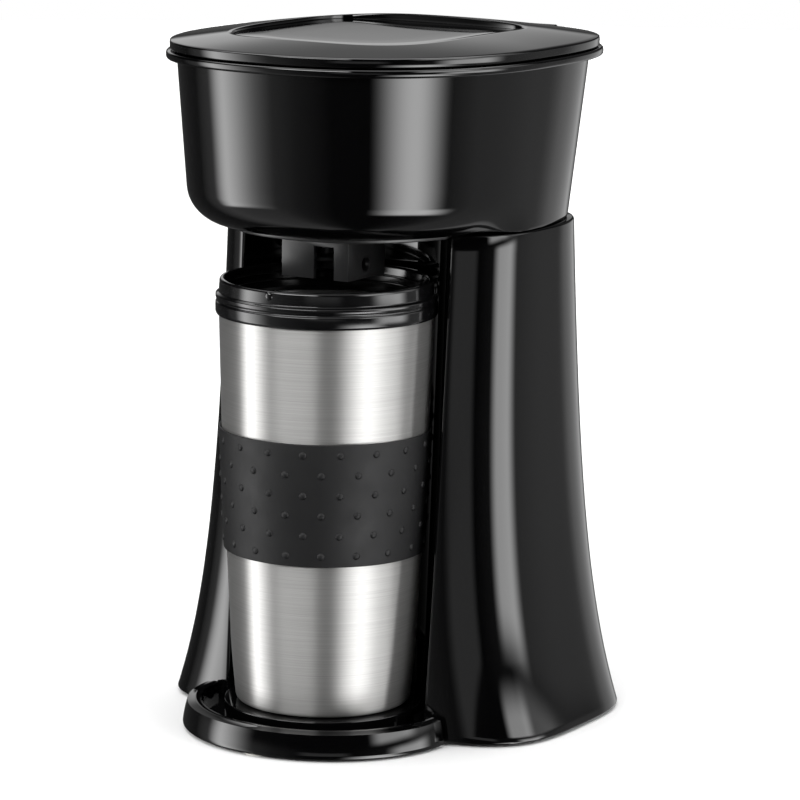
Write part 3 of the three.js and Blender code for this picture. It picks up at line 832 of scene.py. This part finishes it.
def plastic(name, dark, light, rough, grain, depth, scale=9):
    """Moulded plastic: cloudy colour and gloss, and a fine surface grain, with scales per metre."""
    material, nodes, shader, where = new_material(name)
    cloud = nodes.noise(where, scale, 3)
    fine = nodes.noise(where, grain, 2)
    colour = nodes.mix(nodes.span(cloud, 0.3, 0.7, 0, 1), dark, light)
    little = nodes.maths("MULTIPLY", fine, 0.4)
    smudge = nodes.maths("MULTIPLY_ADD", nodes.noise(where, scale * 5, 4), 0.6, little)
    roughness = nodes.span(smudge, 0.3, 0.7, *rough)
    dress(nodes, shader, colour, roughness, nodes.bump(fine, 0.35, depth))
    shader.inputs["IOR"].default_value = 1.5
    return material


def gloss_black():
    dark, light = (0.0006, 0.0006, 0.0007), (0.0011, 0.0011, 0.0012)
    return plastic("gloss_black", dark, light, (0.03, 0.055), 900, 0.0015)


def satin_black():
    return plastic("satin_black", (0.015, 0.015, 0.0155), (0.023, 0.023, 0.0235), (0.28, 0.4), 5200, 0.03)


def collar_black():
    dark, light = (0.002, 0.002, 0.0022), (0.0036, 0.0036, 0.0038)
    return plastic("collar_black", dark, light, (0.08, 0.12), 3800, 0.004)


def smoke_tank():
    return plastic("smoke_tank", (0.012, 0.012, 0.013), (0.02, 0.02, 0.022), (0.14, 0.24), 1500, 0.01)


def rubber():
    return plastic("rubber", (0.010, 0.010, 0.010), (0.018, 0.018, 0.018), (0.6, 0.78), 2600, 0.06)


def grip_rubber():
    dark, light = (0.0036, 0.0036, 0.0040), (0.0056, 0.0056, 0.0060)
    material = plastic("grip_rubber", dark, light, (0.5, 0.62), 3600, 0.06, 22)
    material.node_tree.nodes["Principled BSDF"].inputs["Specular IOR Level"].default_value = 0.36
    return material


def silicone():
    return plastic("silicone", (0.55, 0.54, 0.5), (0.66, 0.65, 0.61), (0.4, 0.55), 1400, 0.02, 30)


def metallic(material):
    material.node_tree.nodes["Principled BSDF"].inputs["Metallic"].default_value = 1
    return material


def aluminium():
    dark, light = (0.42, 0.42, 0.43), (0.58, 0.58, 0.59)
    return metallic(plastic("aluminium", dark, light, (0.38, 0.55), 1900, 0.08, 40))


def screw_steel():
    dark, light = (0.45, 0.45, 0.46), (0.6, 0.6, 0.61)
    return metallic(plastic("screw_steel", dark, light, (0.16, 0.3), 2200, 0.02, 60))


def round_the_mug(nodes, where, along, up):
    """Coordinates that stretch a texture round the mug's axis: little change along, much change upwards."""
    scaled = nodes.add("ShaderNodeVectorMath", {0: where, 1: (along, along, up)}, operation="MULTIPLY")
    return scaled.outputs["Vector"]


def steel(name, colours, rough, lines):
    """Stainless steel brushed round its axis, in fine lines that come and go."""
    material, nodes, shader, where = new_material(name)
    hair = nodes.noise(round_the_mug(nodes, where, 16, lines), 1, 3)
    fine = nodes.noise(round_the_mug(nodes, where, 40, lines * 3.1), 1, 2)
    both = nodes.maths("MULTIPLY_ADD", hair, 0.55, nodes.maths("MULTIPLY", fine, 0.45))
    colour = nodes.mix(nodes.span(both, 0.36, 0.64, 0, 1), *colours)
    roughness = nodes.span(both, 0.3, 0.7, *rough)
    dress(nodes, shader, colour, roughness, nodes.bump(both, 0.16, 0.02))
    shader.inputs["Metallic"].default_value = 0.8
    shader.inputs["Anisotropic"].default_value = 0.95
    shader.inputs["Anisotropic Rotation"].default_value = 0.25
    tangent = nodes.add("ShaderNodeTangent", direction_type="RADIAL", axis="Z").outputs[0]
    nodes.tree.links.new(tangent, shader.inputs["Tangent"])
    return material


def brushed_steel():
    return steel("brushed_steel", ((0.34, 0.337, 0.33), (0.44, 0.436, 0.428)), (0.35, 0.41), 3600)


def liner_steel():
    return steel("liner_steel", ((0.16, 0.16, 0.16), (0.24, 0.24, 0.24)), (0.3, 0.45), 2600)


def filter_mesh():
    """Fine woven mesh: crossed wires as colour and height."""
    material, nodes, shader, where = new_material("filter_mesh")
    waves = []
    for axis in ("X", "Y", "Z"):
        sockets = {"Vector": where, "Scale": 420}
        wave = nodes.add("ShaderNodeTexWave", sockets, bands_direction=axis, wave_profile="SIN")
        waves.append(wave.outputs["Fac"])
    weave = nodes.maths("MAXIMUM", nodes.maths("MAXIMUM", waves[0], waves[1]), waves[2])
    grime = nodes.noise(where, 60, 3)
    wires = nodes.mix(nodes.span(weave, 0.55, 0.95, 0, 1), (0.05, 0.045, 0.035), (0.5, 0.43, 0.3))
    colour = nodes.mix(nodes.span(grime, 0.35, 0.75, 0, 0.5), wires, (0.2, 0.15, 0.09))
    dress(nodes, shader, colour, nodes.span(grime, 0.3, 0.7, 0.3, 0.5), nodes.bump(weave, 0.6, 0.12))
    shader.inputs["Metallic"].default_value = 1
    return material


FINISHES = {
    make.__name__: make()
    for make in (
        gloss_black, satin_black, brushed_steel, rubber, smoke_tank, silicone, aluminium, filter_mesh,
        screw_steel, liner_steel, collar_black, grip_rubber,
    )
}


# ---------- pieces on their bodies ----------
SHARP = math.radians(34)


def stand_for(node, piece):
    """Gives a piece its node's body, slot and finish, and hides the plain node."""
    piece.data.shade_smooth()
    piece.data.set_sharp_from_angle(angle=SHARP)
    piece.data.materials.clear()
    piece.data.materials.append(FINISHES[SLOT_OF[node]])
    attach(piece, BODY_OF[node])
    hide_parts(node)


for make in (
    column_shell, rear_cover, base_plate, cord_inlet, switch_frame, rocker_switch, drip_tray, mug_shell,
    mug_liner, mug_collar, mug_sleeve, hopper_shell, underside_plate, water_reservoir, filter_basket,
    permanent_filter, spout_block, drip_valve, valve_spring, outlet_nozzle, lid, lid_panel, hinge_cover,
):
    stand_for(make.__name__, make())
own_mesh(bpy.data.objects["fine_valve_spring"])
for number, place in enumerate(BASE_SCREWS, 1):
    stand_for(f"base_screw_{number}", base_screw(f"fine_base_screw_{number}", *place))
for number, place in enumerate(FEET, 1):
    stand_for(f"rubber_foot_{number}", foot(f"fine_rubber_foot_{number}", *place))
TRAY_FOOT = [(0, 0), (5.4, 0), (5.4, 0.6), (0, 0.6)]
MUG_PAD = [(0, 12.2), (29, 12.2), (29, 13.1), (0, 13.1)]
stand_for("tray_foot", turned("fine_tray_foot", TRAY_FOOT, 0, -83.6, 64, 0.2))
stand_for("mug_base_pad", turned("fine_mug_base_pad", MUG_PAD, radius=0.3))

for node, carried in frame["nodes"].items():
    if not carried.hide_render:
        carried.data.materials.clear()
        carried.data.materials.append(FINISHES[SLOT_OF[node]])

# ---------- camera ----------
AZIMUTH = math.radians(32)  # the camera stands to the right of the front
DISTANCE, HEIGHT = 1.527, 0.4169  # from the mug's axis, and above the table
PITCH, YAW, ROLL = (math.radians(angle) for angle in (10.60, 1.08, 0.77))


def add_camera():
    lens = bpy.data.cameras.new("camera")
    lens.sensor_width = 36
    lens.lens = 180
    camera = bpy.data.objects.new("camera", lens)
    bpy.context.scene.collection.objects.link(camera)
    bpy.context.scene.camera = camera
    turn = Matrix.Rotation(AZIMUTH, 3, "Z")
    forward = Vector((math.sin(YAW) * math.cos(PITCH), math.cos(YAW) * math.cos(PITCH), -math.sin(PITCH)))
    level_right = Vector((math.cos(YAW), -math.sin(YAW), 0))
    level_up = level_right.cross(forward)
    right = math.cos(ROLL) * level_right + math.sin(ROLL) * level_up
    up = right.cross(forward)
    axes = [turn @ v for v in (right, up, -forward)]
    place = turn @ Vector((0, -DISTANCE, HEIGHT)) + Vector((0, MUG_Y * MM, 0))
    camera.matrix_world = Matrix.Translation(place) @ Matrix(axes).transposed().to_4x4()


# ---------- studio ----------
# Directions are azimuths from the camera's side of the object, to its right, and elevations, in degrees.
SURROUND = [
    (-180, 0.1), (-168, 0.05), (-125, 0.05), (-100, 0.5), (-66, 0.42), (-46, 0.16), (-20, 0.02), (20, 0.01),
    (60, 0.12), (85, 0.35), (122, 0.28), (129, 0.6), (154, 0.9), (165, 0.1), (180, 0.1),
]
SOFTBOXES = [  # from and to azimuth, from and to elevation, softness of each, brightness
    ((-100, -77), (-27, 16), (18, 34), (6, 12), 6.3),
    ((22, 64), (-36, -24), (34, 28), (8, 6), 9.0),
    ((24, 55), (-24, -10), (34, 26), (6, 3), 8.5),
    ((54, 88), (-10, 2), (18, 16), (3, 6), 5.5),
    ((-22, 14), (-5, 2), (12, 12), (2, 2), 0.45),
    ((-62, -11), (23, 38), (16, 5), (5, 6), 11.0),
    ((38, 76), (8, 40), (14, 16), (6, 8), 4.8),
    ((70, 110), (6, 34), (16, 16), (6, 6), 1.2),
]
BEHIND = 0.75  # a dim card low behind the object, which the top of the lid reflects
TOP_LIGHT = 2.3


def add_world():
    world = bpy.data.worlds.new("studio")
    bpy.context.scene.world = world
    world.use_nodes = True
    nodes = Nodes(world.node_tree)
    where = nodes.add("ShaderNodeTexCoord").outputs["Generated"]
    sockets = {"Vector": where, "Angle": -AZIMUTH}
    turned_to = nodes.add("ShaderNodeVectorRotate", sockets, rotation_type="Z_AXIS")
    parts = nodes.add("ShaderNodeSeparateXYZ", {"Vector": turned_to.outputs[0]}).outputs
    towards = nodes.maths("MULTIPLY", parts["Y"], -1.0)
    azimuth = nodes.maths("DEGREES", nodes.maths("ARCTAN2", parts["X"], towards))
    elevation = nodes.maths("DEGREES", nodes.maths("ARCSINE", parts["Z"]))
    ramp = nodes.add("ShaderNodeValToRGB", {"Fac": nodes.span(azimuth, -180, 180, 0, 1)})
    brightest = max(amount for _, amount in SURROUND)
    stops = ramp.color_ramp.elements
    while len(stops) < len(SURROUND):
        stops.new(0.5)
    for stop, (angle, amount) in zip(stops, SURROUND):
        stop.position = (angle + 180) / 360
        stop.color = (*[amount / brightest] * 3, 1)
    low = nodes.maths("MULTIPLY", ramp.outputs["Color"], brightest)
    total = nodes.maths("MULTIPLY", low, nodes.span(elevation, 0, 9, 1, 0.1, True))
    for (az0, az1), (el0, el1), (az_in, az_out), (el_in, el_out), amount in SOFTBOXES:
        shape = nodes.span(azimuth, az0 - az_in / 2, az0 + az_in / 2, 0, 1, True)
        for value, edge, soft, rising in (
            (azimuth, az1, az_out, False), (elevation, el0, el_in, True), (elevation, el1, el_out, False),
        ):
            ends = (0, 1) if rising else (1, 0)
            side = nodes.span(value, edge - soft / 2, edge + soft / 2, *ends, True)
            shape = nodes.maths("MULTIPLY", shape, side)
        total = nodes.maths("MULTIPLY_ADD", shape, amount, total)
    to_the_right = nodes.span(azimuth, 170, 179, 0, BEHIND, True)
    behind = nodes.maths("ADD", to_the_right, nodes.span(azimuth, -168, -150, BEHIND, 0, True))
    for low_end, high_end, start, stop in ((4, 7, 0, 1), (12, 21, 1, 0.36), (30, 40, 1, 0)):
        behind = nodes.maths("MULTIPLY", behind, nodes.span(elevation, low_end, high_end, start, stop, True))
    above = nodes.span(elevation, 34, 52, 0, TOP_LIGHT, True)
    above = nodes.maths("MULTIPLY", above, nodes.span(towards, -0.5, 0.5, 1.75, 0.25))
    total = nodes.maths("ADD", total, nodes.maths("ADD", behind, above))
    backdrop = nodes.add("ShaderNodeLightPath").outputs["Is Camera Ray"]
    lit = nodes.maths("MULTIPLY", total, nodes.maths("SUBTRACT", 1.0, backdrop))
    strength = nodes.maths("ADD", lit, backdrop)
    background = world.node_tree.nodes["Background"]
    world.node_tree.links.new(strength, background.inputs["Strength"])
    background.inputs["Color"].default_value = (1, 1, 1, 1)


def add_floor():
    floor = post("floor", 0, 0, -6, -0.02, 3000, sides=96)
    material, nodes, shader, where = new_material("pale_floor")
    dress(nodes, shader, nodes.mix(nodes.noise(where, 3), (0.75, 0.75, 0.75), (0.77, 0.77, 0.77)))
    shader.inputs["Roughness"].default_value = 0.9
    shader.inputs["Specular IOR Level"].default_value = 0.1
    floor.data.materials.append(material)
    floor.visible_glossy = False


add_camera()
add_world()
add_floor()
bpy.context.scene.view_settings.view_transform = "Standard"
